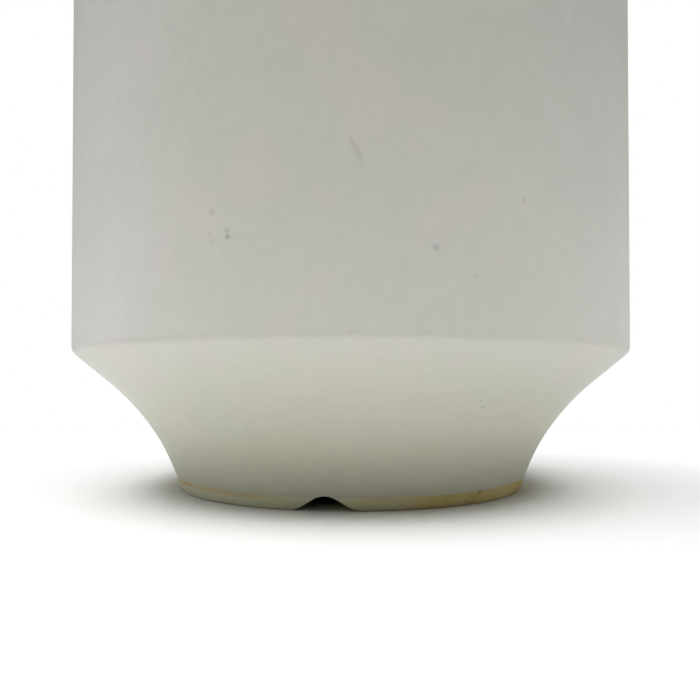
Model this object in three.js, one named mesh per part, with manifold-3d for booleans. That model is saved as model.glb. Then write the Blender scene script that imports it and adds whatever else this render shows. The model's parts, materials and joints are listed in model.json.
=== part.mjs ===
// Round glazed planter: straight wall, rounded shoulder, flank swept in to a notched foot ring.
// Millimetres, +Z up. The origin is on the ground at the planter's axis, and notch 1 faces -Y.
// Outlines of turned pieces are points (distance from the axis, height above the ground).

import * as THREE from 'three';
import { mergeVertices } from 'three/addons/utils/BufferGeometryUtils.js';
import Module from 'manifold-3d';

// Wall and rim
const planterRadius = 177.8;
const planterHeight = 355.6;
const wallThickness = 12;
const rimEdgeRadius = 4;

// Shoulder and flank: the straight flank starts where it would meet the wall in a sharp corner
const shoulderHeight = 86;
const shoulderRadius = 6.8;
const innerShoulderRadius = 16;
const flankAngle = THREE.MathUtils.degToRad(49.4);
const flankLength = 28;

// Hollow sweep that carries the flank on down to the foot
const sweepRadius = 138.5;

// Foot ring: bare clay below the edge of the glaze, with a recess under the floor
const footBandHeight = 8;
const glazeThickness = 0.3;
const footRingWidth = 18.5;
const footRingDraft = 2;
const footOuterEdgeRadius = 2.2;
const footInnerEdgeRadius = 2.5;
const recessHeight = 12;
const recessFilletRadius = 5;

// Bell-shaped drainage notches, pressed through the foot ring
const notchCount = 3;
const notchWidth = 36.4;
const notchHeight = 7.3;
const notchMouthRadius = 0.6;
const notchSteps = 14;
const notchMouthSteps = 2;
const cutterOverrun = 4;
const cutterGroundDip = 0.3;

// Floor and drain hole
const floorThickness = 14;
const floorFilletRadius = 10;
const drainRadius = 14;
const drainEdgeRadius = 3;

// Rubber bung that closes the drain hole from below
const plugClearance = 0.3;
const plugBarbDepth = 0.9;
const plugBarbFlat = 0.8;
const plugBarbRise = 3.4;
const plugBarbCount = 2;
const plugNeck = 3.4;
const plugNoseTaper = 2;
const plugFlangeOverlap = 8;
const plugFlangeThickness = 3;
const plugFlangeEdgeRadius = 1.2;
const pullTabWidth = 17;
const pullTabThickness = 4.5;
const pullTabCornerRadius = 3;
const pullTabGroundClearance = 3;
const pullTabRoot = 1;

// Moulded grid that lies on the floor over the drain hole
const screenOverlap = 18;
const screenThickness = 1.8;
const screenBorderWidth = 3;
const screenBorderHeight = 3;
const screenBorderEdgeRadius = 0.7;
const meshOpening = 5.4;
const meshBar = 2;

// Gap between pieces that lie against each other
const seatGap = 0.3;

// Fineness of the faceted surfaces
const bodySegments = 72;
const smallSegments = 36;
const facetTolerance = 0.15;
const edgeShare = 0.48;

const wasm = await Module();
wasm.setup();

const glazedStoneware = new THREE.MeshStandardMaterial({ color: 0xd7d5cb, roughness: 0.3, metalness: 0 });
const blackRubber = new THREE.MeshStandardMaterial({ color: 0x2a2a2b, roughness: 0.75, metalness: 0 });
const darkPlastic = new THREE.MeshStandardMaterial({ color: 0x2f3a34, roughness: 0.55, metalness: 0 });

// Closed mesh to solid: shared vertices are merged, and triangles that collapse on the axis go
function toSolid(geometry) {
  const bare = geometry.clone();
  bare.deleteAttribute('normal');
  bare.deleteAttribute('uv');
  const merged = mergeVertices(bare);
  const corners = merged.index.array;
  const triangles = [];
  for (let start = 0; start < corners.length; start += 3) {
    const [a, b, c] = corners.slice(start, start + 3);
    if (a !== b && b !== c && c !== a) triangles.push(a, b, c);
  }
  return new wasm.Manifold(new wasm.Mesh({
    numProp: 3,
    vertProperties: new Float32Array(merged.attributes.position.array),
    triVerts: new Uint32Array(triangles),
  }));
}

function toMesh(solid, name, material) {
  const result = solid.getMesh();
  const geometry = new THREE.BufferGeometry();
  geometry.setAttribute('position', new THREE.BufferAttribute(result.vertProperties, 3));
  geometry.setIndex(new THREE.BufferAttribute(result.triVerts, 1));
  geometry.computeVertexNormals();
  const mesh = new THREE.Mesh(geometry, material);
  mesh.name = name;
  return mesh;
}

function revolve(outline, segments) {
  return toSolid(new THREE.LatheGeometry(outline, segments).rotateX(Math.PI / 2));
}

// Arc from one angle to the other, with chords that leave it by no more than the tolerance
function arcPoints(centre, radius, fromAngle, toAngle) {
  const chordAngle = 2 * Math.acos(1 - facetTolerance / radius);
  const steps = Math.max(2, Math.ceil(Math.abs(toAngle - fromAngle) / chordAngle));
  const points = [];
  for (let step = 0; step <= steps; step += 1) {
    const angle = THREE.MathUtils.lerp(fromAngle, toAngle, step / steps);
    const reach = new THREE.Vector2(Math.cos(angle), Math.sin(angle)).multiplyScalar(radius);
    points.push(reach.add(centre));
  }
  return points;
}

// Rounds one corner of an outline, by no more than its two edges have room for
function roundCorner(before, corner, after, edgeRadius) {
  const back = before.clone().sub(corner);
  const ahead = after.clone().sub(corner);
  const room = edgeShare * Math.min(back.length(), ahead.length());
  const halfAngle = back.angleTo(ahead) / 2;
  const tangent = Math.min(edgeRadius / Math.tan(halfAngle), room);
  const radius = tangent * Math.tan(halfAngle);
  const start = back.setLength(tangent).add(corner);
  const end = ahead.setLength(tangent).add(corner);
  const towardCentre = start.clone().add(end).multiplyScalar(0.5).sub(corner);
  const centre = towardCentre.setLength(radius / Math.sin(halfAngle)).add(corner);
  const fromAngle = start.clone().sub(centre).angle();
  const turn = end.clone().sub(centre).angle() - fromAngle;
  const shortTurn = turn - 2 * Math.PI * Math.round(turn / (2 * Math.PI));
  return arcPoints(centre, radius, fromAngle, fromAngle + shortTurn);
}

// Outline from a list of [distance, height, edge radius]: a corner with no edge radius stays sharp
function roundedOutline(corners) {
  const points = corners.map(([distance, height]) => new THREE.Vector2(distance, height));
  return points.flatMap((point, index) => {
    const edgeRadius = corners[index][2] ?? 0;
    if (edgeRadius === 0) return [point];
    const before = points[(index + points.length - 1) % points.length];
    const after = points[(index + 1) % points.length];
    return roundCorner(before, point, after, edgeRadius);
  });
}

// Heights and faces that the pieces share
const floorTop = recessHeight + floorThickness;
const alongFlank = new THREE.Vector2(-Math.sin(flankAngle), -Math.cos(flankAngle));
const outOfFlank = new THREE.Vector2(Math.cos(flankAngle), -Math.sin(flankAngle));
const shoulderCorner = new THREE.Vector2(planterRadius, shoulderHeight);
const flankEnd = shoulderCorner.clone().addScaledVector(alongFlank, flankLength);
const sweepCentre = flankEnd.clone().addScaledVector(outOfFlank, sweepRadius);

// Outer distance of the swept face at a height, and the bare clay under the glaze's thickness
function sweepDistance(height) {
  return sweepCentre.x - Math.sqrt(sweepRadius ** 2 - (height - sweepCentre.y) ** 2);
}

function footFaceDistance(height) {
  return sweepDistance(height) - glazeThickness;
}

const footInnerDistance = footFaceDistance(0) - footRingWidth;

function recessFaceDistance(height) {
  return footInnerDistance - footRingDraft * height / recessHeight;
}

// Angle about the sweep's centre of the swept face, or of one parallel to it, at a height
function sweepAngle(radius, height) {
  return Math.PI - Math.asin((height - sweepCentre.y) / radius);
}

function outerSweep() {
  const bandTop = sweepAngle(sweepRadius, footBandHeight);
  return arcPoints(sweepCentre, sweepRadius, bandTop, Math.PI - flankAngle);
}

// Inside, the sweep stays parallel to the outer one and ends in a fillet tangent to it and the floor
function innerSweepAndFloorFillet() {
  const innerRadius = sweepRadius + wallThickness;
  const filletHeight = floorTop + floorFilletRadius;
  const filletAngle = sweepAngle(innerRadius + floorFilletRadius, filletHeight);
  const reach = new THREE.Vector2(Math.cos(filletAngle), Math.sin(filletAngle));
  const filletCentre = sweepCentre.clone().addScaledVector(reach, innerRadius + floorFilletRadius);
  const sweep = arcPoints(sweepCentre, innerRadius, Math.PI - flankAngle, filletAngle);
  const fillet = arcPoints(filletCentre, floorFilletRadius, filletAngle - Math.PI, -Math.PI / 2);
  return [...sweep, ...fillet.slice(1)];
}

function bodyOutline() {
  const innerDistance = planterRadius - wallThickness;
  const innerShoulderHeight = shoulderHeight + wallThickness * Math.tan(flankAngle / 2);
  const asCorners = (points) => points.map((point) => [point.x, point.y]);
  const outline = roundedOutline([
    [footInnerDistance, 0, footInnerEdgeRadius],
    [footFaceDistance(0), 0, footOuterEdgeRadius],
    [footFaceDistance(footBandHeight), footBandHeight],
    ...asCorners(outerSweep()),
    [planterRadius, shoulderHeight, shoulderRadius],
    [planterRadius, planterHeight, rimEdgeRadius],
    [innerDistance, planterHeight, rimEdgeRadius],
    [innerDistance, innerShoulderHeight, innerShoulderRadius],
    ...asCorners(innerSweepAndFloorFillet()),
    [drainRadius, floorTop, drainEdgeRadius],
    [drainRadius, recessHeight, drainEdgeRadius],
    [recessFaceDistance(recessHeight), recessHeight, recessFilletRadius],
  ]);
  return [...outline, outline[0]];
}

// Bell that a notch shows from the side, as points (distance across, height), grown by spread
function bellOutline(spread) {
  const halfWidth = notchWidth / 2 + spread;
  const rise = notchHeight + spread + cutterGroundDip;
  const points = [new THREE.Vector2(-halfWidth, -cutterOverrun), new THREE.Vector2(halfWidth, -cutterOverrun)];
  for (let step = 0; step <= notchSteps; step += 1) {
    const across = THREE.MathUtils.lerp(halfWidth, -halfWidth, step / notchSteps);
    const share = (1 + Math.cos(Math.PI * across / halfWidth)) / 2;
    points.push(new THREE.Vector2(across, rise * share - cutterGroundDip));
  }
  return points;
}

// One cross-section of the notch cutter: the bell laid on a face that follows the foot ring round
function bellSection(faceDistance, depth, spread) {
  return bellOutline(spread).map((point) => {
    const distance = faceDistance(point.y) + depth;
    const angle = point.x / footFaceDistance(0);
    return new THREE.Vector3(distance * Math.sin(angle), -distance * Math.cos(angle), point.y);
  });
}

// Closed skin over a row of cross-sections that have the same number of points
function loftSections(sections, capOutline) {
  const count = capOutline.length;
  const lastStart = (sections.length - 1) * count;
  const faces = [];
  for (let start = 0; start < lastStart; start += count) {
    for (let index = 0; index < count; index += 1) {
      const next = (index + 1) % count;
      faces.push(start + index, start + next, start + count + next);
      faces.push(start + index, start + count + next, start + count + index);
    }
  }
  for (const [a, b, c] of THREE.ShapeUtils.triangulateShape(capOutline, [])) {
    faces.push(a, c, b);
    faces.push(lastStart + a, lastStart + b, lastStart + c);
  }
  const geometry = new THREE.BufferGeometry().setFromPoints(sections.flat());
  geometry.setIndex(faces);
  return geometry;
}

// The notch widens in a rounded mouth at each face of the ring
function notchCutter() {
  const inward = [bellSection(recessFaceDistance, -cutterOverrun, notchMouthRadius)];
  const outward = [bellSection(footFaceDistance, cutterOverrun, notchMouthRadius)];
  for (let step = notchMouthSteps; step >= 0; step -= 1) {
    const angle = Math.PI / 2 * step / notchMouthSteps;
    const depth = notchMouthRadius * (1 - Math.sin(angle));
    const spread = notchMouthRadius * (1 - Math.cos(angle));
    inward.push(bellSection(recessFaceDistance, depth, spread));
    outward.push(bellSection(footFaceDistance, -depth, spread));
  }
  return loftSections([...inward, ...outward.reverse()], bellOutline(0));
}

function planterBody() {
  let solid = revolve(bodyOutline(), bodySegments);
  const cutter = notchCutter();
  for (let index = 0; index < notchCount; index += 1) {
    const turned = cutter.clone().rotateZ(2 * Math.PI * index / notchCount);
    solid = solid.subtract(toSolid(turned));
  }
  return toMesh(solid, 'planter_body', glazedStoneware);
}

// Barbs slope on the side that goes in first, so that the bung pushes in and grips on the way out
function plugOutline() {
  const barbDistance = drainRadius - plugClearance;
  const stemDistance = barbDistance - plugBarbDepth;
  const flangeDistance = drainRadius + plugFlangeOverlap;
  const flangeTop = recessHeight - seatGap;
  const flangeBottom = flangeTop - plugFlangeThickness;
  const corners = [
    [0, flangeBottom],
    [flangeDistance, flangeBottom, plugFlangeEdgeRadius],
    [flangeDistance, flangeTop, plugFlangeEdgeRadius],
    [stemDistance, flangeTop],
  ];
  for (let index = 0; index < plugBarbCount; index += 1) {
    const barbBottom = recessHeight + plugNeck + index * plugBarbRise;
    corners.push([stemDistance, barbBottom]);
    corners.push([barbDistance, barbBottom]);
    corners.push([barbDistance, barbBottom + plugBarbFlat]);
  }
  const stemTop = recessHeight + plugNeck + plugBarbCount * plugBarbRise;
  corners.push([stemDistance - plugNoseTaper, stemTop]);
  corners.push([0, stemTop]);
  return roundedOutline(corners);
}

// Flat tab under the flange for the fingertips, with rounded lower corners
function pullTab() {
  const top = recessHeight - seatGap - plugFlangeThickness + pullTabRoot;
  const half = pullTabWidth / 2;
  const outline = roundedOutline([
    [-half, pullTabGroundClearance, pullTabCornerRadius],
    [half, pullTabGroundClearance, pullTabCornerRadius],
    [half, top],
    [-half, top],
  ]);
  const shape = new THREE.Shape(outline);
  const geometry = new THREE.ExtrudeGeometry(shape, { depth: pullTabThickness, bevelEnabled: false });
  return toSolid(geometry.translate(0, 0, -pullTabThickness / 2).rotateX(Math.PI / 2));
}

function drainPlug() {
  const solid = revolve(plugOutline(), smallSegments).add(pullTab());
  return toMesh(solid, 'drain_plug', blackRubber);
}

// Bars laid side by side across the screen, each as long as the border's middle line allows
function screenBars(bottom, middleDistance) {
  const pitch = meshOpening + meshBar;
  const count = Math.floor((middleDistance - meshBar) / pitch);
  const bars = [];
  for (let index = -count; index <= count; index += 1) {
    const offset = index * pitch;
    const farEdge = Math.abs(offset) + meshBar / 2;
    const length = 2 * Math.sqrt(middleDistance ** 2 - farEdge ** 2);
    const bar = new THREE.BoxGeometry(length, meshBar, screenThickness);
    bars.push(bar.translate(0, offset, bottom + screenThickness / 2));
  }
  return bars;
}

// Two rows of crossing bars, moulded in one with a raised round border
function drainScreen() {
  const bottom = floorTop + seatGap;
  const outerDistance = drainRadius + screenOverlap;
  const innerDistance = outerDistance - screenBorderWidth;
  const border = roundedOutline([
    [innerDistance, bottom],
    [outerDistance, bottom],
    [outerDistance, bottom + screenBorderHeight, screenBorderEdgeRadius],
    [innerDistance, bottom + screenBorderHeight, screenBorderEdgeRadius],
  ]);
  let solid = revolve([...border, border[0]], smallSegments);
  for (const bar of screenBars(bottom, outerDistance - screenBorderWidth / 2)) {
    solid = solid.add(toSolid(bar));
    solid = solid.add(toSolid(bar.rotateZ(Math.PI / 2)));
  }
  return toMesh(solid, 'drain_screen', darkPlastic);
}

const planter = new THREE.Group();
planter.add(planterBody());
planter.add(drainPlug());
planter.add(drainScreen());

export default planter;
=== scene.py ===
import json
import math
import bmesh
import bpy
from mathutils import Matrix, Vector

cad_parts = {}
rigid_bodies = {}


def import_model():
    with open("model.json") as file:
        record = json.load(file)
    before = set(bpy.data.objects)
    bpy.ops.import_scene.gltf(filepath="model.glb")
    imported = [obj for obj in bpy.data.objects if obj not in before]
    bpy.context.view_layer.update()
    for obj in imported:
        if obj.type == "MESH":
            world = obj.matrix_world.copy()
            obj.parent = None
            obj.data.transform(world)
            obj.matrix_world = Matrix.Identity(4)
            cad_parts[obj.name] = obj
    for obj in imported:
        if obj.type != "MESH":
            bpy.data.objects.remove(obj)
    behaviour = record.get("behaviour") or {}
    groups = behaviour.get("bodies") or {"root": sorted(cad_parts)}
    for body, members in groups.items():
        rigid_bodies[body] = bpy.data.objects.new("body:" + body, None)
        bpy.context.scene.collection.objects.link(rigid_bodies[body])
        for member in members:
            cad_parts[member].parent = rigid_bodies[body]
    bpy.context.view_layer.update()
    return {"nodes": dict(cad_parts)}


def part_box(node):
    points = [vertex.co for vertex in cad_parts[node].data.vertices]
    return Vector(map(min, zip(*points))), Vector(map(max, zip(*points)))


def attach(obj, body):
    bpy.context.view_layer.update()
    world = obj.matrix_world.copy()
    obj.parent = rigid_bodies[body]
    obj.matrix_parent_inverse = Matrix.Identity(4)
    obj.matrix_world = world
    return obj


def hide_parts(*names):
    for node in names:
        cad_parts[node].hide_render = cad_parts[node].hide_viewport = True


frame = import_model()
print("frame loaded:", ", ".join(sorted(frame["nodes"])))


# camera

photoView = {
    "framePixels": 700,
    "focalPixels": 658.8,     # focal length, in pixels of the photograph
    "centreColumn": 350.7,    # column and row of the optical axis
    "centreRow": 380.27,
    "distance": 0.4551,       # from the planter's axis
    "height": 0.06255,
    "azimuth": 6.82,          # degrees to the right of the front notch
    "pitchUp": 0.926,         # degrees above level
    "sensorWidth": 36,        # millimetres
    "nearest": 0.01,          # nothing nearer than this is drawn
}


# a camera tilted by 90 degrees looks level
def addPhotoCamera(view):
    turn = math.radians(view["azimuth"])
    place = (view["distance"] * math.sin(turn), -view["distance"] * math.cos(turn), view["height"])
    tilt = math.radians(90 + view["pitchUp"])
    bpy.ops.object.camera_add(location=place, rotation=(tilt, 0, turn))
    camera = bpy.context.active_object
    camera.name = "photoCamera"
    camera.data.sensor_width = view["sensorWidth"]
    camera.data.lens = view["sensorWidth"] * view["focalPixels"] / view["framePixels"]
    camera.data.shift_x = (view["framePixels"] / 2 - view["centreColumn"]) / view["framePixels"]
    camera.data.shift_y = (view["centreRow"] - view["framePixels"] / 2) / view["framePixels"]
    camera.data.clip_start = view["nearest"]
    bpy.context.scene.camera = camera


addPhotoCamera(photoView)
print("camera set")


# shared modelling helpers

making = {
    "penSize": 0.002,         # small plane that is merged to the one point that draws an outline
    "seamGap": 0.000002,      # points nearer than this are merged
}


def deselectAll():
    if bpy.context.object and bpy.context.object.mode != "OBJECT":
        bpy.ops.object.mode_set(mode="OBJECT")
    bpy.ops.object.select_all(action="DESELECT")


def pickOnly(piece):
    deselectAll()
    piece.select_set(True)
    bpy.context.view_layer.objects.active = piece


# points of an arc in the (radius, height) plane, both ends included
def arcPoints(centre, radius, startAngle, endAngle, steps):
    points = []
    for step in range(steps + 1):
        angle = startAngle + (endAngle - startAngle) * step / steps
        points.append((centre[0] + radius * math.cos(angle), centre[1] + radius * math.sin(angle)))
    return points


# rounds the corner between two straight runs with a tangent arc
def roundCorner(before, corner, after, radius, steps):
    back = (Vector(before) - Vector(corner)).normalized()
    ahead = (Vector(after) - Vector(corner)).normalized()
    half = back.angle(ahead) / 2
    start = Vector(corner) + back * (radius / math.tan(half))
    end = Vector(corner) + ahead * (radius / math.tan(half))
    centre = Vector(corner) + (back + ahead).normalized() * (radius / math.sin(half))
    startAngle = math.atan2(start.y - centre.y, start.x - centre.x)
    endAngle = math.atan2(end.y - centre.y, end.x - centre.x)
    turn = (endAngle - startAngle + math.pi) % math.tau - math.pi
    return arcPoints(centre, radius, startAngle, startAngle + turn, steps)


# evenly spaced points on a straight run, both ends left out
def runPoints(start, end, count):
    a, b = Vector(start), Vector(end)
    return [tuple(a.lerp(b, (i + 1) / (count + 1))) for i in range(count)]


# applies the newest modifier of the active piece
def applyModifier(piece):
    bpy.ops.object.modifier_apply(modifier=piece.modifiers[-1].name)


# draws the half section with one vertex, then screws it part or all of the way round the axis
def turnOutline(name, outline, startAngle, turnAngle, steps):
    deselectAll()
    bpy.ops.mesh.primitive_plane_add(size=making["penSize"], location=(0, 0, 0))
    piece = bpy.context.active_object
    piece.name = name
    bpy.ops.object.mode_set(mode="EDIT")
    bpy.ops.mesh.merge(type="CENTER")
    pen = Vector((0, 0, 0))
    for number, (radius, height) in enumerate(outline):
        target = Vector((radius * math.cos(startAngle), radius * math.sin(startAngle), height))
        if number == 0:
            bpy.ops.transform.translate(value=target)
        else:
            bpy.ops.mesh.extrude_region_move(TRANSFORM_OT_translate={"value": target - pen})
        pen = target
    bpy.ops.object.mode_set(mode="OBJECT")
    bpy.ops.object.modifier_add(type="SCREW")
    screw = piece.modifiers[-1]
    screw.angle = turnAngle
    screw.steps = steps
    screw.render_steps = steps
    applyModifier(piece)
    closeSeams(piece)
    return piece


def closeSeams(piece):
    pickOnly(piece)
    bpy.ops.object.mode_set(mode="EDIT")
    bpy.ops.mesh.select_all(action="SELECT")
    bpy.ops.mesh.remove_doubles(threshold=making["seamGap"])
    bpy.ops.mesh.normals_make_consistent(inside=False)
    bpy.ops.object.mode_set(mode="OBJECT")


# joins a second solid into a piece
def uniteWith(piece, other):
    pickOnly(piece)
    bpy.ops.object.modifier_add(type="BOOLEAN")
    union = piece.modifiers[-1]
    union.operation = "UNION"
    union.solver = "EXACT"
    union.use_self = True
    union.object = other
    applyModifier(piece)
    bpy.data.objects.remove(other)


def smoothBelow(piece, degrees):
    pickOnly(piece)
    bpy.ops.object.shade_smooth_by_angle(angle=math.radians(degrees))


# node helpers: each adds a node or two and gives back the output

def feed(tree, socket, value):
    if isinstance(value, bpy.types.NodeSocket):
        tree.links.new(value, socket)
    else:
        socket.default_value = value


def maths(tree, operation, first, second=0.0):
    node = tree.nodes.new("ShaderNodeMath")
    node.operation = operation
    feed(tree, node.inputs[0], first)
    feed(tree, node.inputs[1], second)
    return node.outputs[0]


# smooth step from one value to another
def fade(tree, value, fromLow, fromHigh, toLow=0.0, toHigh=1.0):
    node = tree.nodes.new("ShaderNodeMapRange")
    node.interpolation_type = "SMOOTHSTEP"
    for socket, amount in zip(node.inputs, (value, fromLow, fromHigh, toLow, toHigh)):
        feed(tree, socket, amount)
    return node.outputs[0]


# noise of so many features to the metre, about 0.5 in the middle
def cloud(tree, place, look):
    node = tree.nodes.new("ShaderNodeTexNoise")
    feed(tree, node.inputs["Vector"], place)
    node.inputs["Scale"].default_value = look["perMetre"]
    node.inputs["Detail"].default_value = look["detail"]
    return node.outputs["Fac"]


# the same noise, faded between two of its values
def fadedCloud(tree, place, look):
    low, high = look.get("to", (0.0, 1.0))
    return fade(tree, cloud(tree, place, look), *look["fade"], low, high)


# noise along one line, for rings and grooves
def ripple(tree, along, look):
    node = tree.nodes.new("ShaderNodeTexNoise")
    node.noise_dimensions = "1D"
    feed(tree, node.inputs["W"], along)
    node.inputs["Scale"].default_value = look["perMetre"]
    node.inputs["Detail"].default_value = look["detail"]
    return node.outputs["Fac"]


# noise that swings so far to both sides of nothing, end to end
def wander(tree, place, look, swing):
    return maths(tree, "MULTIPLY", maths(tree, "SUBTRACT", cloud(tree, place, look), 0.5), swing)


# sockets 6 and 7 of a colour mix are its two colours, and output 2 is the mixed one
def mixColour(tree, amount, first, second, blendType="MIX"):
    node = tree.nodes.new("ShaderNodeMix")
    node.data_type = "RGBA"
    node.blend_type = blendType
    feed(tree, node.inputs[0], amount)
    for socket, colour in ((node.inputs[6], first), (node.inputs[7], second)):
        feed(tree, socket, colour if isinstance(colour, bpy.types.NodeSocket) else (*colour, 1))
    return node.outputs[2]


# bump of a height map whose full range is so many metres deep
def relief(tree, height, depth, under=None):
    node = tree.nodes.new("ShaderNodeBump")
    node.inputs["Distance"].default_value = depth
    feed(tree, node.inputs["Height"], height)
    if under is not None:
        feed(tree, node.inputs["Normal"], under)
    return node.outputs["Normal"]


def objectPlace(tree):
    return tree.nodes.new("ShaderNodeTexCoord").outputs["Object"]


def readAttribute(tree, name):
    node = tree.nodes.new("ShaderNodeAttribute")
    node.attribute_name = name
    return node.outputs["Fac"]


def newMaterial(name):
    material = bpy.data.materials.new(name)
    material.use_nodes = True
    return material, material.node_tree, material.node_tree.nodes["Principled BSDF"]


# pot body

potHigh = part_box("planter_body")[1]

pot = {
    "radius": potHigh[0],
    "height": potHigh[2],
    "wall": 0.012,
    "rimEdge": 0.004,
    "shoulderHeight": 0.086,     # where wall and flank would meet in a sharp corner
    "shoulderRadius": 0.0060,
    "innerShoulderRadius": 0.016,
    "flankAngle": math.radians(49.4),
    "flankLength": 0.028,
    "sweepRadius": 0.1385,
    "bandHeight": 0.008,         # bare clay below this height
    "glazeThickness": 0.0003,
    "ringWidth": 0.0185,
    "ringDraft": 0.002,
    "outerEdge": 0.0016,
    "innerEdge": 0.0025,
    "recess": 0.012,
    "recessFillet": 0.005,
    "floor": 0.014,
    "floorFillet": 0.010,
    "drainRadius": 0.014,
    "drainEdge": 0.003,
    "flankMiddle": 0.62,         # shares of the wall, level, from the outer face to the middle
    "sweepMiddle": 0.6,
    "smoothBelow": 40,           # degrees between two faces
}

# face of the bare band and the small roll that ends the glaze over it, in shares of the band's height
footBand = {
    "facePoints": (0.45, 0.58, 0.70, 0.80, 0.88, 0.94),
    "rollPoints": ((0.35, 0.972), (0.8, 1.0)),    # the first of each is a share of the glaze's thickness
    "rollTop": 1.06,
}

# faces in each curve of the half section
curveSteps = {
    "outerEdge": 9,
    "sweep": 30,
    "shoulder": 12,
    "rim": 7,
    "innerShoulder": 8,
    "innerSweep": 14,
    "floorFillet": 8,
    "drainEdge": 5,
    "recessFillet": 6,
    "innerEdge": 6,
}

# points between the ends of each straight run
runCounts = {"flank": 4, "wall": 9, "floor": 5, "underside": 5, "recess": 3, "standing": 2}

notch = {
    "count": 3,
    "width": 0.038,
    "height": 0.0082,
    "blendHeight": 0.0104,       # the foot ring is squeezed up below this height
    "reachIn": 0.001,            # so far inside the ring's line, points still belong to it
    "sectorSteps": 160,          # columns of faces from one notch to the next
}

# centre of the hollow sweep, straight out from the end of the flank
flankEnd = (pot["radius"] - pot["flankLength"] * math.sin(pot["flankAngle"]),
            pot["shoulderHeight"] - pot["flankLength"] * math.cos(pot["flankAngle"]))
sweepCentre = (flankEnd[0] + pot["sweepRadius"] * math.cos(pot["flankAngle"]),
               flankEnd[1] - pot["sweepRadius"] * math.sin(pot["flankAngle"]))


def sweepDistance(height):
    return sweepCentre[0] - math.sqrt(pot["sweepRadius"] ** 2 - (height - sweepCentre[1]) ** 2)


def footFace(height):
    return sweepDistance(height) - pot["glazeThickness"]


def recessFace(height):
    return footFace(0) - pot["ringWidth"] - pot["ringDraft"] * height / pot["recess"]


def sweepAngle(radius, height):
    return math.pi - math.asin((height - sweepCentre[1]) / radius)


# distance from the axis to the middle of the wall, the flank or the foot ring
def wallMiddle(height):
    if height > pot["shoulderHeight"]:
        return pot["radius"] - pot["wall"] / 2
    if height > flankEnd[1]:
        drop = (pot["shoulderHeight"] - height) * math.tan(pot["flankAngle"])
        return pot["radius"] - drop - pot["wall"] * pot["flankMiddle"]
    if height > pot["bandHeight"] * 2:
        return sweepDistance(height) - pot["wall"] * pot["sweepMiddle"]
    return footFace(0) - pot["ringWidth"] / 2


def potOutline():
    wallIn = pot["radius"] - pot["wall"]
    innerShoulder = (wallIn, pot["shoulderHeight"] + pot["wall"] * math.tan(pot["flankAngle"] / 2))
    shoulder = (pot["radius"], pot["shoulderHeight"])
    rimOut = (pot["radius"], pot["height"])
    rimIn = (wallIn, pot["height"])
    floorTop = pot["recess"] + pot["floor"]
    flankTurn = math.pi - pot["flankAngle"]
    footOut = (footFace(0), 0)
    footIn = (recessFace(0), 0)

    # foot ring, bare band and the roll of the glaze
    band = pot["bandHeight"]
    bandTop = (footFace(band), band)
    points = roundCorner(footIn, footOut, bandTop, pot["outerEdge"], curveSteps["outerEdge"])
    for share in footBand["facePoints"]:
        points.append((footFace(band * share), band * share))
    for thickness, share in footBand["rollPoints"]:
        points.append((footFace(band) + pot["glazeThickness"] * thickness, band * share))

    # sweep, flank, shoulder, wall and rim; the run's last point would lie inside the shoulder
    rollTurn = sweepAngle(pot["sweepRadius"], band * footBand["rollTop"])
    sweep = arcPoints(sweepCentre, pot["sweepRadius"], rollTurn, flankTurn, curveSteps["sweep"])
    points += sweep
    points += runPoints(sweep[-1], shoulder, runCounts["flank"])[:-1]
    points += roundCorner(sweep[-1], shoulder, rimOut, pot["shoulderRadius"], curveSteps["shoulder"])
    points += runPoints(shoulder, rimOut, runCounts["wall"])
    points += roundCorner(shoulder, rimOut, rimIn, pot["rimEdge"], curveSteps["rim"])
    points += roundCorner(rimOut, rimIn, innerShoulder, pot["rimEdge"], curveSteps["rim"])

    # down the inside to the floor
    points += runPoints(rimIn, innerShoulder, runCounts["wall"])
    inner = pot["sweepRadius"] + pot["wall"]
    filletReach = inner + pot["floorFillet"]
    filletHeight = floorTop + pot["floorFillet"]
    filletTurn = sweepAngle(filletReach, filletHeight)
    filletCentre = (sweepCentre[0] + filletReach * math.cos(filletTurn), filletHeight)
    innerSweep = arcPoints(sweepCentre, inner, flankTurn, filletTurn, curveSteps["innerSweep"])
    points += roundCorner(rimIn, innerShoulder, innerSweep[0], pot["innerShoulderRadius"],
                          curveSteps["innerShoulder"])
    points += innerSweep
    points += arcPoints(filletCentre, pot["floorFillet"], filletTurn - math.pi, -math.pi / 2,
                        curveSteps["floorFillet"])[1:]

    # floor, drain hole and the recess underneath
    hole = pot["drainRadius"]
    holeTop = (hole, floorTop)
    holeBottom = (hole, pot["recess"])
    corner = (recessFace(pot["recess"]), pot["recess"])
    points += runPoints(points[-1], (hole + pot["drainEdge"], floorTop), runCounts["floor"])
    points += roundCorner((2 * hole, floorTop), holeTop, holeBottom, pot["drainEdge"],
                          curveSteps["drainEdge"])
    points += roundCorner(holeTop, holeBottom, (2 * hole, pot["recess"]), pot["drainEdge"],
                          curveSteps["drainEdge"])
    points += runPoints(points[-1], (corner[0] - pot["recessFillet"], corner[1]), runCounts["underside"])
    points += roundCorner(holeBottom, corner, footIn, pot["recessFillet"], curveSteps["recessFillet"])
    points += runPoints(points[-1], (recessFace(pot["innerEdge"]), pot["innerEdge"]), runCounts["recess"])
    points += roundCorner(corner, footIn, footOut, pot["innerEdge"], curveSteps["innerEdge"])
    points += runPoints(points[-1], points[0], runCounts["standing"])
    points.append(points[0])
    return points


# height of the bell-shaped notch, so many degrees from its middle
def bellHeight(degrees):
    across = math.radians(degrees) * footFace(0)
    return notch["height"] * (1 + math.cos(math.tau * across / notch["width"])) / 2


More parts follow.
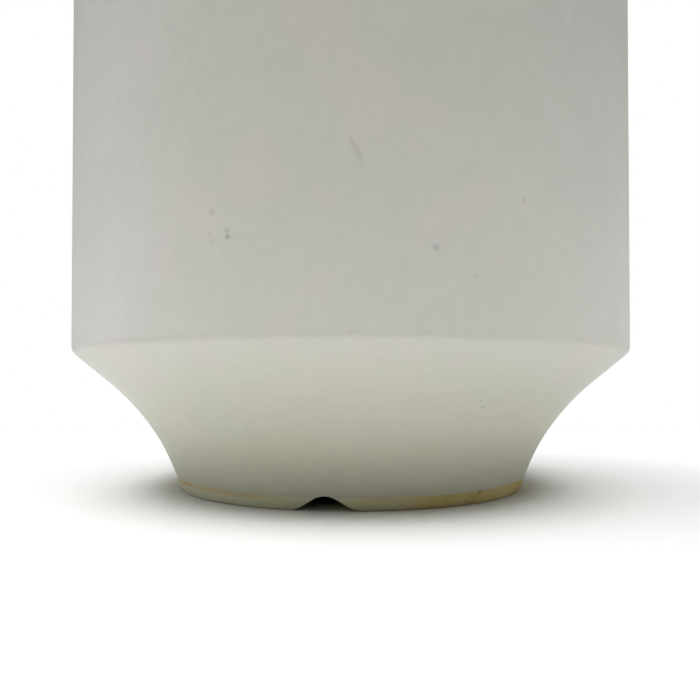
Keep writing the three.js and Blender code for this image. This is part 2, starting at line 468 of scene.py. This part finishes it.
# squeezes the foot ring up at the notch, one column of points at a time, outer and inner face apart
def pressNotch(piece):
    blendHeight = notch["blendHeight"]
    nearest = recessFace(blendHeight) - notch["reachIn"]
    halfWidth = math.degrees(notch["width"] / 2 / footFace(0))
    columnStep = 360 / notch["count"] / notch["sectorSteps"]
    columns = {}
    for vertex in piece.data.vertices:
        x, y, z = vertex.co
        radius = math.hypot(x, y)
        around = math.degrees(math.atan2(x, -y))
        if z < blendHeight and radius > nearest and abs(around) < halfWidth:
            key = (round(around / columnStep), radius > wallMiddle(0))
            columns.setdefault(key, []).append(vertex.index)
    pickOnly(piece)
    bpy.ops.object.mode_set(mode="EDIT")
    for (column, isOuter), members in columns.items():
        bpy.ops.mesh.select_all(action="DESELECT")
        mesh = bmesh.from_edit_mesh(piece.data)
        mesh.verts.ensure_lookup_table()
        for index in members:
            mesh.verts[index].select_set(True)
        around = math.radians(column * columnStep)
        reach = footFace(blendHeight) if isOuter else recessFace(blendHeight)
        squeeze = 1 - bellHeight(column * columnStep) / blendHeight
        top = (reach * math.sin(around), -reach * math.cos(around), blendHeight)
        bpy.ops.transform.resize(value=(squeeze, squeeze, squeeze), center_override=top)
    bpy.ops.object.mode_set(mode="OBJECT")


# copies the finished third of the pot round to the other two notches
def copySectors(piece):
    pickOnly(piece)
    bpy.ops.object.mode_set(mode="EDIT")
    bpy.ops.mesh.select_all(action="SELECT")
    for _ in range(notch["count"] - 1):
        bpy.ops.mesh.duplicate()
        bpy.ops.transform.rotate(value=math.tau / notch["count"], orient_axis="Z",
                                 center_override=(0, 0, 0))
    bpy.ops.object.mode_set(mode="OBJECT")
    closeSeams(piece)


# where the glaze ends and how brown the clay is, all by degrees round from the front notch

# how far the glaze's lower edge was brushed above or below the band, in metres
brushedEdge = [
    (-180, 0.0001), (-125, -0.0006), (-80, 0.0003), (-48, 0.0003), (-36, 0.0001), (-28, -0.0004),
    (-18, -0.0009), (-12, -0.0003), (-6, -0.0011), (7, -0.0007), (20, -0.0009), (32, -0.0007),
    (50, -0.0008), (61, 0.0003), (105, -0.0003), (140, 0.0002), (180, 0.0001),
]

# how brown the bare band is
bandBrown = [
    (-180, 0.3), (-90, 0.1), (-50, 0.0), (3, 0.0), (8, 0.25), (19, 0.45), (28, 0.9), (90, 1.0),
    (140, 0.6), (180, 0.3),
]

# how strong the brown line over it is
lineBrown = [
    (-180, 0.4), (-70, 1.0), (-50, 0.85), (-42, 0.6), (-20, 0.5), (-8, 0.2), (0, 0.0), (10, 0.15),
    (60, 0.3), (120, 0.6), (180, 0.4),
]

glazing = {
    "lineStart": 5,             # degrees from a notch's middle to where the brown line begins
    "lineFade": 5,              # degrees over which it gains its strength
    "insideDepth": 0.052,       # how far the glaze runs down inside the rim
    "insideRipple": 0.005,      # how far its edge runs up and down there
    "insideWaves": ((3, 0.7, 0.5), (7, 2.1, 0.3), (13, 0.0, 0.2)),    # waves round, shift, share
    "insideLine": 0.25,
    "underneathReach": -0.01,   # bare clay in the recess
    "underneathStain": 0.25,
    "floorSlack": 0.0001,
}


# reads one of the lists at so many degrees
def valueRound(pairs, around):
    for (start, low), (end, high) in zip(pairs, pairs[1:]):
        if around <= end:
            return low + (high - low) * (around - start) / (end - start)
    return pairs[-1][1]


# degrees from the nearest notch
def angleFromNotch(around):
    between = 360 / notch["count"]
    return abs((around + between / 2) % between - between / 2)


# writes how far each point lies above the glaze's edge, and how brown the clay is there
def markGlaze(piece):
    mesh = piece.data
    reach = mesh.attributes.new("glazeReach", "FLOAT", "POINT")
    stain = mesh.attributes.new("bandStain", "FLOAT", "POINT")
    line = mesh.attributes.new("edgeLine", "FLOAT", "POINT")
    inside = pot["recess"] + pot["floor"] - glazing["floorSlack"]
    for index, vertex in enumerate(mesh.vertices):
        x, y, z = vertex.co
        turn = math.atan2(x, -y)
        around = math.degrees(turn)
        if math.hypot(x, y) > wallMiddle(z):
            begun = (angleFromNotch(around) - glazing["lineStart"]) / glazing["lineFade"]
            reach.data[index].value = z - pot["bandHeight"] - valueRound(brushedEdge, around)
            stain.data[index].value = valueRound(bandBrown, around)
            line.data[index].value = valueRound(lineBrown, around) * min(1, max(0, begun))
        elif z > inside:
            wave = sum(share * math.sin(count * turn + shift)
                       for count, shift, share in glazing["insideWaves"])
            edge = pot["height"] - glazing["insideDepth"] + glazing["insideRipple"] * wave
            reach.data[index].value = z - edge
            line.data[index].value = glazing["insideLine"]
        else:
            reach.data[index].value = glazing["underneathReach"]
            stain.data[index].value = glazing["underneathStain"]


footAngle = math.radians(-90)    # the first sector has the front notch in its middle
sectorTurn = math.tau / notch["count"]
potBody = turnOutline("potBody", potOutline(), footAngle - sectorTurn / 2, sectorTurn,
                      notch["sectorSteps"])
pressNotch(potBody)
copySectors(potBody)
markGlaze(potBody)
smoothBelow(potBody, pot["smoothBelow"])
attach(potBody, "planter")
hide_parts("planter_body")
print("pot body:", len(potBody.data.vertices), "points")


# glazed stoneware

stoneware = {
    "glaze": (0.679, 0.665, 0.597),
    "glazeWarm": (0.700, 0.664, 0.605),
    "glazeCool": (0.652, 0.655, 0.580),
    "glazeLow": (0.665, 0.655, 0.495),      # yellower towards the foot
    "lowBelow": 0.095,                      # from this height down
    "lowShade": 0.81,                       # painted shade: darker towards the foot, by this much at the bottom
    "paintedShadeBetween": (0.010, 0.046),
    "paleClay": (0.680, 0.660, 0.455),
    "shadedInnerClay": (0.560, 0.540, 0.465),     # inside and underneath, greyer and darkened as painted shade of the hollows
    "brownClay": (0.640, 0.505, 0.195),
    "darkClay": (0.480, 0.355, 0.130),
    "edgeBrown": (0.600, 0.430, 0.140),
    "glazeRoughness": 0.46,
    "clayRoughness": 0.88,
    "ior": 1.5,
    "specularLevel": 0.35,
}

# heights from the glaze's edge between which each part of it comes or goes
edgeFades = {
    "glaze": (-0.0009, 0.0008),
    "shadedInnerClay": (-0.012, -0.0085),
    "lineRise": (-0.0034, -0.0014),
    "lineFall": (-0.0003, 0.0007),
    "swing": 0.0016,                        # how far the edge wanders
}

# noise patterns: features to the metre, detail, the values it fades between and what they become
patterns = {
    "edgeWander": {"perMetre": 90, "detail": 3},
    "glazeClouds": {"perMetre": 15, "detail": 3, "fade": (0.35, 0.65)},
    "warmDrift": {"perMetre": 24, "detail": 2, "fade": (0.48, 0.72), "to": (0.0, 0.7)},
    "mottle": {"perMetre": 130, "detail": 4, "fade": (0.3, 0.7), "to": (0.985, 1.012)},
    "stainPatches": {"perMetre": 40, "detail": 3, "fade": (0.3, 0.55), "to": (0.72, 1.0)},
    "darkPatches": {"perMetre": 110, "detail": 4, "fade": (0.5, 0.72)},
    "clayGrain": {"perMetre": 1300, "detail": 3, "fade": (0.3, 0.7), "to": (0.93, 1.05)},
    "linePatches": {"perMetre": 70, "detail": 3, "fade": (0.3, 0.6), "to": (0.7, 1.0)},
    "scuffPatches": {"perMetre": 160, "detail": 2, "fade": (0.35, 0.6), "to": (0.2, 1.0)},
    "markEdges": {"perMetre": 900, "detail": 2},
    "gloss": {"perMetre": 60, "detail": 3, "fade": (0.3, 0.7), "to": (-0.035, 0.035)},
}

# relief, each with its full depth in metres
bumps = {
    "wallWaves": {"perMetre": 22, "detail": 1, "depth": 0.0004},
    "turningRings": {"perMetre": 150, "detail": 2, "depth": 0.0012},
    "ringSway": {"perMetre": 5, "detail": 1, "swing": 0.012},
    "orangePeel": {"perMetre": 650, "detail": 2, "depth": 0.00002},
    "clayGrit": {"perMetre": 1500, "detail": 3, "depth": 0.00015},
}

# specks in the glaze and clay: middle, radius, how much darker, tint
marks = [
    {"at": (0.0571, -0.1684, 0.1242), "size": 0.0024, "dark": 0.36, "tint": (0.30, 0.31, 0.33)},
    {"at": (-0.0406, -0.1731, 0.1409), "size": 0.0020, "dark": 0.26, "tint": (0.34, 0.33, 0.20)},
    {"at": (-0.0334, -0.1746, 0.1323), "size": 0.0017, "dark": 0.27, "tint": (0.30, 0.29, 0.22)},
    {"at": (-0.0329, -0.1747, 0.1295), "size": 0.0019, "dark": 0.40, "tint": (0.26, 0.21, 0.13)},
    {"at": (-0.0416, -0.1729, 0.1319), "size": 0.0016, "dark": 0.16, "tint": (0.35, 0.32, 0.28)},
    {"at": (-0.0407, -0.1731, 0.1279), "size": 0.0019, "dark": 0.17, "tint": (0.35, 0.32, 0.28)},
    {"at": (0.0744, -0.1615, 0.1127), "size": 0.0017, "dark": 0.17, "tint": (0.32, 0.29, 0.25)},
    {"at": (0.0965, -0.1493, 0.1484), "size": 0.0016, "dark": 0.30, "tint": (0.38, 0.28, 0.26)},
    {"at": (0.0210, -0.1766, 0.0870), "size": 0.0016, "dark": 0.13, "tint": (0.38, 0.26, 0.30)},
    {"at": (0.0794, -0.1226, 0.0578), "size": 0.0012, "dark": 0.28, "tint": (0.25, 0.24, 0.20)},
    {"at": (0.0805, -0.1184, 0.0546), "size": 0.0018, "dark": 0.24, "tint": (0.32, 0.32, 0.42)},
    {"at": (0.0028, -0.1189, 0.0161), "size": 0.0045, "dark": 0.14, "tint": (0.62, 0.42, 0.34)},
    {"at": (0.0816, -0.0816, 0.0068), "size": 0.0022, "dark": 0.55, "tint": (0.20, 0.12, 0.05)},
]

markFade = (0.25, 1.05)    # shares of a speck's radius where it starts to fade and where it is gone

# a long thin scuff: its two ends, half width, how much darker, tint
scuff = {
    "from": (0.0205, -0.1766, 0.1709),
    "to": (0.0268, -0.1758, 0.1578),
    "half": 0.0013,
    "dark": 0.24,
    "tint": (0.36, 0.35, 0.25),
}


def distanceTo(tree, place, point):
    node = tree.nodes.new("ShaderNodeVectorMath")
    node.operation = "DISTANCE"
    feed(tree, node.inputs[0], place)
    node.inputs[1].default_value = point
    return node.outputs["Value"]


# distance from a straight line between two points, by the sum of the ways to its ends
def distanceToLine(tree, place, start, end):
    ways = maths(tree, "ADD", distanceTo(tree, place, start), distanceTo(tree, place, end))
    span = (Vector(end) - Vector(start)).length
    extra = maths(tree, "MAXIMUM", maths(tree, "SUBTRACT", ways, span), 0.0)
    return maths(tree, "SQRT", maths(tree, "MULTIPLY", extra, span / 2))


# broad clouds, a warm drift, yellower towards the foot, painted shade darkening it near the foot, fine
# mottling
def glazeColour(tree, place, height):
    clouds = fadedCloud(tree, place, patterns["glazeClouds"])
    glaze = mixColour(tree, clouds, stoneware["glazeCool"], stoneware["glaze"])
    warmth = fadedCloud(tree, place, patterns["warmDrift"])
    glaze = mixColour(tree, warmth, glaze, stoneware["glazeWarm"])
    lowness = fade(tree, height, 0.0, stoneware["lowBelow"], 1.0, 0.0)
    glaze = mixColour(tree, lowness, glaze, stoneware["glazeLow"])
    # painted shade: the glaze is darkened towards the foot, where the floor's shadow falls
    paintedFootShade = fade(tree, height, *stoneware["paintedShadeBetween"], stoneware["lowShade"], 1.0)
    glaze = mixColour(tree, 1.0, glaze, paintedFootShade, "MULTIPLY")
    mottle = fadedCloud(tree, place, patterns["mottle"])
    return mixColour(tree, 1.0, glaze, mottle, "MULTIPLY")


# pale body, brown stain in patches, a greyer clay inside and underneath darkened as painted shade, fine
# grain
def clayColour(tree, place, shadedInside):
    patchy = fadedCloud(tree, place, patterns["stainPatches"])
    stain = maths(tree, "MULTIPLY", readAttribute(tree, "bandStain"), patchy)
    dark = fadedCloud(tree, place, patterns["darkPatches"])
    brown = mixColour(tree, dark, stoneware["brownClay"], stoneware["darkClay"])
    clay = mixColour(tree, stain, stoneware["paleClay"], brown)
    # painted shade: the clay inside and underneath is darker
    clay = mixColour(tree, shadedInside, clay, stoneware["shadedInnerClay"])
    grain = fadedCloud(tree, place, patterns["clayGrain"])
    return mixColour(tree, 1.0, clay, grain, "MULTIPLY")


# how strong the brown line is where the glaze runs thin
def edgeLine(tree, place, reach):
    rise = fade(tree, reach, *edgeFades["lineRise"])
    fall = fade(tree, reach, *edgeFades["lineFall"], 1.0, 0.0)
    line = maths(tree, "MULTIPLY", maths(tree, "MULTIPLY", rise, fall), readAttribute(tree, "edgeLine"))
    return maths(tree, "MULTIPLY", line, fadedCloud(tree, place, patterns["linePatches"]))


# lays the specks and the scuff over a colour
def markedColour(tree, place, surface):
    solid, gone = markFade
    for mark in marks:
        ragged = wander(tree, place, patterns["markEdges"], mark["size"])
        away = maths(tree, "ADD", distanceTo(tree, place, mark["at"]), ragged)
        amount = fade(tree, away, mark["size"] * solid, mark["size"] * gone, mark["dark"], 0.0)
        surface = mixColour(tree, amount, surface, mark["tint"])
    away = distanceToLine(tree, place, scuff["from"], scuff["to"])
    amount = fade(tree, away, 0.0, scuff["half"] * 2, scuff["dark"], 0.0)
    amount = maths(tree, "MULTIPLY", amount, fadedCloud(tree, place, patterns["scuffPatches"]))
    return mixColour(tree, amount, surface, scuff["tint"])


# slow waves of the wall, turning rings where no glaze hides them, orange peel in the glaze, grit in the clay
def stonewareRelief(tree, place, fromAxis, height, glazed, shadedInside):
    sway = maths(tree, "MULTIPLY", cloud(tree, place, bumps["ringSway"]), bumps["ringSway"]["swing"])
    along = maths(tree, "ADD", maths(tree, "ADD", fromAxis, height), sway)
    rings = maths(tree, "MULTIPLY", ripple(tree, along, bumps["turningRings"]), shadedInside)
    peel = maths(tree, "MULTIPLY", cloud(tree, place, bumps["orangePeel"]), glazed)
    bare = maths(tree, "SUBTRACT", 1.0, glazed)
    grit = maths(tree, "MULTIPLY", cloud(tree, place, bumps["clayGrit"]), bare)
    normal = relief(tree, cloud(tree, place, bumps["wallWaves"]), bumps["wallWaves"]["depth"])
    normal = relief(tree, rings, bumps["turningRings"]["depth"], normal)
    normal = relief(tree, peel, bumps["orangePeel"]["depth"], normal)
    return relief(tree, grit, bumps["clayGrit"]["depth"], normal)


def glazedStoneware():
    material, tree, shader = newMaterial("glazedStoneware")
    place = objectPlace(tree)
    apart = tree.nodes.new("ShaderNodeSeparateXYZ")
    feed(tree, apart.inputs[0], place)
    height = apart.outputs["Z"]
    flat = tree.nodes.new("ShaderNodeCombineXYZ")
    feed(tree, flat.inputs["X"], apart.outputs["X"])
    feed(tree, flat.inputs["Y"], apart.outputs["Y"])
    fromAxis = distanceTo(tree, flat.outputs[0], (0, 0, 0))

    # where the glaze is, and where the clay inside and underneath takes painted shade
    ragged = wander(tree, place, patterns["edgeWander"], edgeFades["swing"])
    reach = maths(tree, "ADD", readAttribute(tree, "glazeReach"), ragged)
    glazed = fade(tree, reach, *edgeFades["glaze"])
    shadedInside = fade(tree, reach, *edgeFades["shadedInnerClay"], 1.0, 0.0)

    clay = clayColour(tree, place, shadedInside)
    surface = mixColour(tree, glazed, clay, glazeColour(tree, place, height))
    surface = mixColour(tree, edgeLine(tree, place, reach), surface, stoneware["edgeBrown"])
    surface = markedColour(tree, place, surface)

    # satin glaze over matt clay
    gloss = fadedCloud(tree, place, patterns["gloss"])
    satin = maths(tree, "ADD", gloss, stoneware["glazeRoughness"])
    roughness = tree.nodes.new("ShaderNodeMix")
    feed(tree, roughness.inputs[0], glazed)
    roughness.inputs[2].default_value = stoneware["clayRoughness"]
    feed(tree, roughness.inputs[3], satin)

    feed(tree, shader.inputs["Base Color"], surface)
    feed(tree, shader.inputs["Roughness"], roughness.outputs[0])
    feed(tree, shader.inputs["Normal"], stonewareRelief(tree, place, fromAxis, height, glazed, shadedInside))
    shader.inputs["IOR"].default_value = stoneware["ior"]
    shader.inputs["Specular IOR Level"].default_value = stoneware["specularLevel"]
    return material


potBody.data.materials.append(glazedStoneware())
print("glaze and clay done")


# drain plug: a rubber bung with two barbs and a finger tab

plug = {
    "barbs": 2,
    "barbRadius": 0.0137,
    "barbDepth": 0.0009,
    "barbFlat": 0.0008,
    "barbRise": 0.0034,
    "neck": 0.0034,
    "noseTaper": 0.002,
    "flangeRadius": 0.022,
    "flangeTop": 0.0117,
    "flangeBottom": 0.0087,
    "flangeEdge": 0.0012,
    "edge": 0.0003,
    "barbEdgeShare": 0.7,       # of the other edges
    "edgeSteps": 4,
    "tabWidth": 0.017,
    "tabThickness": 0.0045,
    "tabBottom": 0.003,
    "tabSunk": 0.001,           # how far the tab reaches up into the flange
    "tabCorner": 0.003,
    "tabCornerSteps": 8,
    "tabEdge": 0.0006,
    "tabEdgeSteps": 3,
    "turnSteps": 96,
    "smoothBelow": 35,
}

# how edges are told apart on the finger tab
tabTests = {
    "flatAngle": 0.01,          # faces this near to flat become one, in radians
    "levelGap": 0.0001,         # an edge lies on one face where its ends differ by less
    "topShare": 0.99,           # edges below this share of the tab's half height are eased
}


def plugOutline():
    stem = plug["barbRadius"] - plug["barbDepth"]
    barbEdge = plug["edge"] * plug["barbEdgeShare"]
    barbStart = pot["recess"] + plug["neck"]
    corners = [
        ((0, plug["flangeBottom"]), 0),
        ((plug["flangeRadius"], plug["flangeBottom"]), plug["flangeEdge"]),
        ((plug["flangeRadius"], plug["flangeTop"]), plug["flangeEdge"]),
        ((stem, plug["flangeTop"]), plug["edge"] * 2),
    ]
    for number in range(plug["barbs"]):
        bottom = barbStart + number * plug["barbRise"]
        corners.append(((stem, bottom), plug["edge"]))
        corners.append(((plug["barbRadius"], bottom), barbEdge))
        corners.append(((plug["barbRadius"], bottom + plug["barbFlat"]), barbEdge))
    top = barbStart + plug["barbs"] * plug["barbRise"]
    corners.append(((stem - plug["noseTaper"], top), plug["edge"] * 2))
    corners.append(((0, top), 0))
    points = [corners[0][0]]
    for number in range(1, len(corners) - 1):
        corner, radius = corners[number]
        before, after = corners[number - 1][0], corners[number + 1][0]
        points += roundCorner(before, corner, after, radius, plug["edgeSteps"])
    points.append(corners[-1][0])
    return points


# flat tab whose lower corners are rounded, then all its edges eased
def fingerTab():
    deselectAll()
    top = plug["flangeBottom"] + plug["tabSunk"]
    middle = (top + plug["tabBottom"]) / 2
    bpy.ops.mesh.primitive_cube_add(size=1, location=(0, 0, middle))
    tab = bpy.context.active_object
    bpy.ops.object.mode_set(mode="EDIT")
    size = (plug["tabWidth"], plug["tabThickness"], top - plug["tabBottom"])
    bpy.ops.transform.resize(value=size, center_override=(0, 0, middle))
    bpy.ops.mesh.select_all(action="DESELECT")
    bpy.ops.mesh.select_mode(type="EDGE")
    mesh = bmesh.from_edit_mesh(tab.data)
    for edge in mesh.edges:
        ends = [vertex.co for vertex in edge.verts]
        low = all(end.z < 0 for end in ends)
        alongThickness = abs(ends[0].y - ends[1].y) > abs(ends[0].x - ends[1].x)
        edge.select_set(low and alongThickness)
    bpy.ops.mesh.bevel(offset=plug["tabCorner"], segments=plug["tabCornerSteps"], affect="EDGES")
    bpy.ops.mesh.select_all(action="SELECT")
    bpy.ops.mesh.dissolve_limited(angle_limit=tabTests["flatAngle"])
    bpy.ops.mesh.select_all(action="DESELECT")
    mesh = bmesh.from_edit_mesh(tab.data)
    for edge in mesh.edges:
        onFace = abs(edge.verts[0].co.y - edge.verts[1].co.y) < tabTests["levelGap"]
        lowest = min(vertex.co.z for vertex in edge.verts)
        edge.select_set(onFace and lowest < (top - middle) * tabTests["topShare"])
    bpy.ops.mesh.bevel(offset=plug["tabEdge"], segments=plug["tabEdgeSteps"], affect="EDGES")
    bpy.ops.mesh.select_mode(type="VERT")
    bpy.ops.object.mode_set(mode="OBJECT")
    bpy.ops.object.transform_apply(location=True, rotation=True, scale=True)
    return tab


drainPlug = turnOutline("drainPlug", plugOutline(), 0, math.tau, plug["turnSteps"])
uniteWith(drainPlug, fingerTab())
smoothBelow(drainPlug, plug["smoothBelow"])
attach(drainPlug, "plug")
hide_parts("drain_plug")

rubber = {
    "colour": (0.022, 0.022, 0.023),
    "bloomColour": (0.045, 0.044, 0.042),
    "dustColour": (0.16, 0.15, 0.13),
    "bloom": {"perMetre": 120, "detail": 4, "fade": (0.45, 0.7)},
    "dust": {"perMetre": 900, "detail": 2, "fade": (0.62, 0.72), "to": (0.0, 0.35)},
    "roughness": {"perMetre": 300, "detail": 3, "fade": (0.3, 0.7), "to": (0.62, 0.80)},
    "grain": {"perMetre": 2600, "detail": 2, "depth": 0.00006},
}


def blackRubber():
    material, tree, shader = newMaterial("blackRubber")
    place = objectPlace(tree)
    bloom = fadedCloud(tree, place, rubber["bloom"])
    colour = mixColour(tree, bloom, rubber["colour"], rubber["bloomColour"])
    dust = fadedCloud(tree, place, rubber["dust"])
    colour = mixColour(tree, dust, colour, rubber["dustColour"])
    normal = relief(tree, cloud(tree, place, rubber["grain"]), rubber["grain"]["depth"])
    feed(tree, shader.inputs["Base Color"], colour)
    feed(tree, shader.inputs["Roughness"], fadedCloud(tree, place, rubber["roughness"]))
    feed(tree, shader.inputs["Normal"], normal)
    return material


drainPlug.data.materials.append(blackRubber())
print("drain plug:", len(drainPlug.data.vertices), "points")


# drain screen: a moulded grid with a raised round border

screen = {
    "bottom": 0.0263,
    "radius": 0.032,
    "borderWidth": 0.003,
    "borderHeight": 0.003,
    "borderEdge": 0.0007,
    "lowEdgeShare": 0.35,       # of the border's upper edges
    "edgeSteps": 4,
    "thickness": 0.0018,
    "bar": 0.002,
    "pitch": 0.0074,
    "barsEachSide": 3,
    "barEdge": 0.0004,
    "barEdgeSteps": 3,
    "turnSteps": 120,
    "smoothBelow": 35,
}


def borderOutline():
    inner = screen["radius"] - screen["borderWidth"]
    low, high = screen["bottom"], screen["bottom"] + screen["borderHeight"]
    corners = [(inner, low), (screen["radius"], low), (screen["radius"], high), (inner, high)]
    lowEdge = screen["borderEdge"] * screen["lowEdgeShare"]
    points = []
    for number, corner in enumerate(corners):
        before, after = corners[number - 1], corners[(number + 1) % len(corners)]
        radius = screen["borderEdge"] if corner[1] == high else lowEdge
        points += roundCorner(before, corner, after, radius, screen["edgeSteps"])
    return points + [points[0]]


# one eased bar, copied across, each copy drawn in to end under the border, then all of it turned
def crossingBars():
    deselectAll()
    middle = screen["bottom"] + screen["thickness"] / 2
    reach = screen["radius"] - screen["borderWidth"] / 2
    count = screen["barsEachSide"]
    bpy.ops.mesh.primitive_cube_add(size=1, location=(0, 0, middle))
    bars = bpy.context.active_object
    bpy.ops.object.mode_set(mode="EDIT")
    size = (2 * reach, screen["bar"], screen["thickness"])
    bpy.ops.transform.resize(value=size, center_override=(0, 0, middle))
    bpy.ops.mesh.bevel(offset=screen["barEdge"], segments=screen["barEdgeSteps"], affect="EDGES")
    bpy.ops.transform.translate(value=(0, -count * screen["pitch"], 0))
    for _ in range(2 * count):
        bpy.ops.mesh.duplicate_move(TRANSFORM_OT_translate={"value": (0, screen["pitch"], 0)})
    for number in range(-count, count + 1):
        offset = number * screen["pitch"]
        chord = math.sqrt(reach ** 2 - (abs(offset) + screen["bar"] / 2) ** 2)
        bpy.ops.mesh.select_all(action="DESELECT")
        mesh = bmesh.from_edit_mesh(bars.data)
        for vertex in mesh.verts:
            vertex.select_set(abs(vertex.co.y - offset) < screen["pitch"] / 2)
        bpy.ops.transform.resize(value=(chord / reach, 1, 1), center_override=(0, offset, middle))
    bpy.ops.mesh.select_all(action="SELECT")
    bpy.ops.mesh.duplicate()
    bpy.ops.transform.rotate(value=math.pi / 2, orient_axis="Z", center_override=(0, 0, middle))
    bpy.ops.object.mode_set(mode="OBJECT")
    bpy.ops.object.transform_apply(location=True, rotation=True, scale=True)
    return bars


drainScreen = turnOutline("drainScreen", borderOutline(), 0, math.tau, screen["turnSteps"])
uniteWith(drainScreen, crossingBars())
smoothBelow(drainScreen, screen["smoothBelow"])
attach(drainScreen, "screen")
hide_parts("drain_screen")

plastic = {
    "colour": (0.026, 0.038, 0.031),
    "paleColour": (0.036, 0.050, 0.042),
    "soilColour": (0.110, 0.090, 0.060),
    "paleness": {"perMetre": 90, "detail": 3, "fade": (0.4, 0.65)},
    "soil": {"perMetre": 420, "detail": 3, "fade": (0.60, 0.70), "to": (0.0, 0.5)},
    "roughness": {"perMetre": 500, "detail": 2, "fade": (0.3, 0.7), "to": (0.42, 0.60)},
    "grain": {"perMetre": 3000, "detail": 2, "depth": 0.00003},
}


def darkPlastic():
    material, tree, shader = newMaterial("darkPlastic")
    place = objectPlace(tree)
    paleness = fadedCloud(tree, place, plastic["paleness"])
    colour = mixColour(tree, paleness, plastic["colour"], plastic["paleColour"])
    soil = fadedCloud(tree, place, plastic["soil"])
    colour = mixColour(tree, soil, colour, plastic["soilColour"])
    normal = relief(tree, cloud(tree, place, plastic["grain"]), plastic["grain"]["depth"])
    feed(tree, shader.inputs["Base Color"], colour)
    feed(tree, shader.inputs["Roughness"], fadedCloud(tree, place, plastic["roughness"]))
    feed(tree, shader.inputs["Normal"], normal)
    return material


drainScreen.data.materials.append(darkPlastic())
print("drain screen:", len(drainScreen.data.vertices), "points")


# floor and studio light, for the picture only

studio = {
    "floorRadius": 0.7,
    "floorSides": 128,
    "floorWhite": 0.85,
    "floorRoughness": 1.0,
    "floorSpecular": 0.0,
    "backdrop": (1, 1, 1),      # what the camera itself sees of the sky
}

# soft glows of the sky: degrees up, how wide, degrees round from the front and how tightly, how strong
glows = [
    {"up": 60, "spread": 0.06, "toward": 0, "tightness": 1, "strength": 8.6},
    {"up": 60, "spread": 0.06, "toward": -90, "tightness": 1, "strength": 16.2},
    {"up": 60, "spread": 0.06, "toward": 90, "tightness": 1, "strength": 10.3},
    {"up": 45, "spread": 0.08, "toward": -90, "tightness": 1, "strength": 0.90},
    {"up": 70, "spread": 0.04, "strength": 2.35},
    {"toward": -90, "tightness": 32, "strength": 1.70, "tint": (0.84, 0.98, 1.46)},
    {"toward": 90, "tightness": 32, "strength": 2.05, "tint": (0.88, 0.99, 1.16)},
    {"toward": -90, "tightness": 8, "strength": 0.34},
    {"toward": 0, "tightness": 8, "strength": 0.12},
    {"toward": -45, "tightness": 16, "strength": 0.17},
    {"toward": 135, "tightness": 16, "strength": 1.18},
    {"toward": -135, "tightness": 16, "strength": 0.42},
]


def layFloor():
    deselectAll()
    bpy.ops.mesh.primitive_circle_add(vertices=studio["floorSides"], radius=studio["floorRadius"],
                                      fill_type="NGON", location=(0, 0, 0))
    studioFloor = bpy.context.active_object
    studioFloor.name = "studioFloor"
    paper, _, shader = newMaterial("floorPaper")
    shader.inputs["Base Color"].default_value = (studio["floorWhite"],) * 3 + (1,)
    shader.inputs["Roughness"].default_value = studio["floorRoughness"]
    shader.inputs["Specular IOR Level"].default_value = studio["floorSpecular"]
    studioFloor.data.materials.append(paper)


# bell-shaped glow about one height in the sky
def ringGlow(tree, upness, degreesUp, spread):
    height = math.sin(math.radians(degreesUp))
    off = maths(tree, "DIVIDE", maths(tree, "SUBTRACT", upness, height), spread)
    return maths(tree, "EXPONENT", maths(tree, "MULTIPLY", maths(tree, "MULTIPLY", off, off), -1.0))


# glow about one side, so many degrees round from the front
def sideGlow(tree, direction, around, tightness):
    turn = math.radians(around)
    node = tree.nodes.new("ShaderNodeVectorMath")
    node.operation = "DOT_PRODUCT"
    feed(tree, node.inputs[0], direction)
    node.inputs[1].default_value = (math.sin(turn), -math.cos(turn), 0)
    return maths(tree, "POWER", maths(tree, "MAXIMUM", node.outputs["Value"], 0.0), tightness)


def lightStudio():
    world = bpy.data.worlds.new("studioWorld")
    bpy.context.scene.world = world
    world.use_nodes = True
    tree = world.node_tree
    direction = tree.nodes.new("ShaderNodeTexCoord").outputs["Generated"]
    apart = tree.nodes.new("ShaderNodeSeparateXYZ")
    feed(tree, apart.inputs[0], direction)
    total = (0, 0, 0)
    for glow in glows:
        amount = glow["strength"]
        if "up" in glow:
            ring = ringGlow(tree, apart.outputs["Z"], glow["up"], glow["spread"])
            amount = maths(tree, "MULTIPLY", ring, amount)
        if "toward" in glow:
            side = sideGlow(tree, direction, glow["toward"], glow["tightness"])
            amount = maths(tree, "MULTIPLY", side, amount)
        tinted = tree.nodes.new("ShaderNodeVectorMath")
        tinted.operation = "MULTIPLY_ADD"
        feed(tree, tinted.inputs[0], amount)
        tinted.inputs[1].default_value = glow.get("tint", (1, 1, 1))
        feed(tree, tinted.inputs[2], total)
        total = tinted.outputs["Vector"]
    seen = tree.nodes.new("ShaderNodeLightPath").outputs["Is Camera Ray"]
    background = tree.nodes["Background"]
    feed(tree, background.inputs["Color"], mixColour(tree, seen, total, studio["backdrop"]))


layFloor()
lightStudio()
bpy.context.scene.view_settings.view_transform = "Standard"
print("floor and light done")
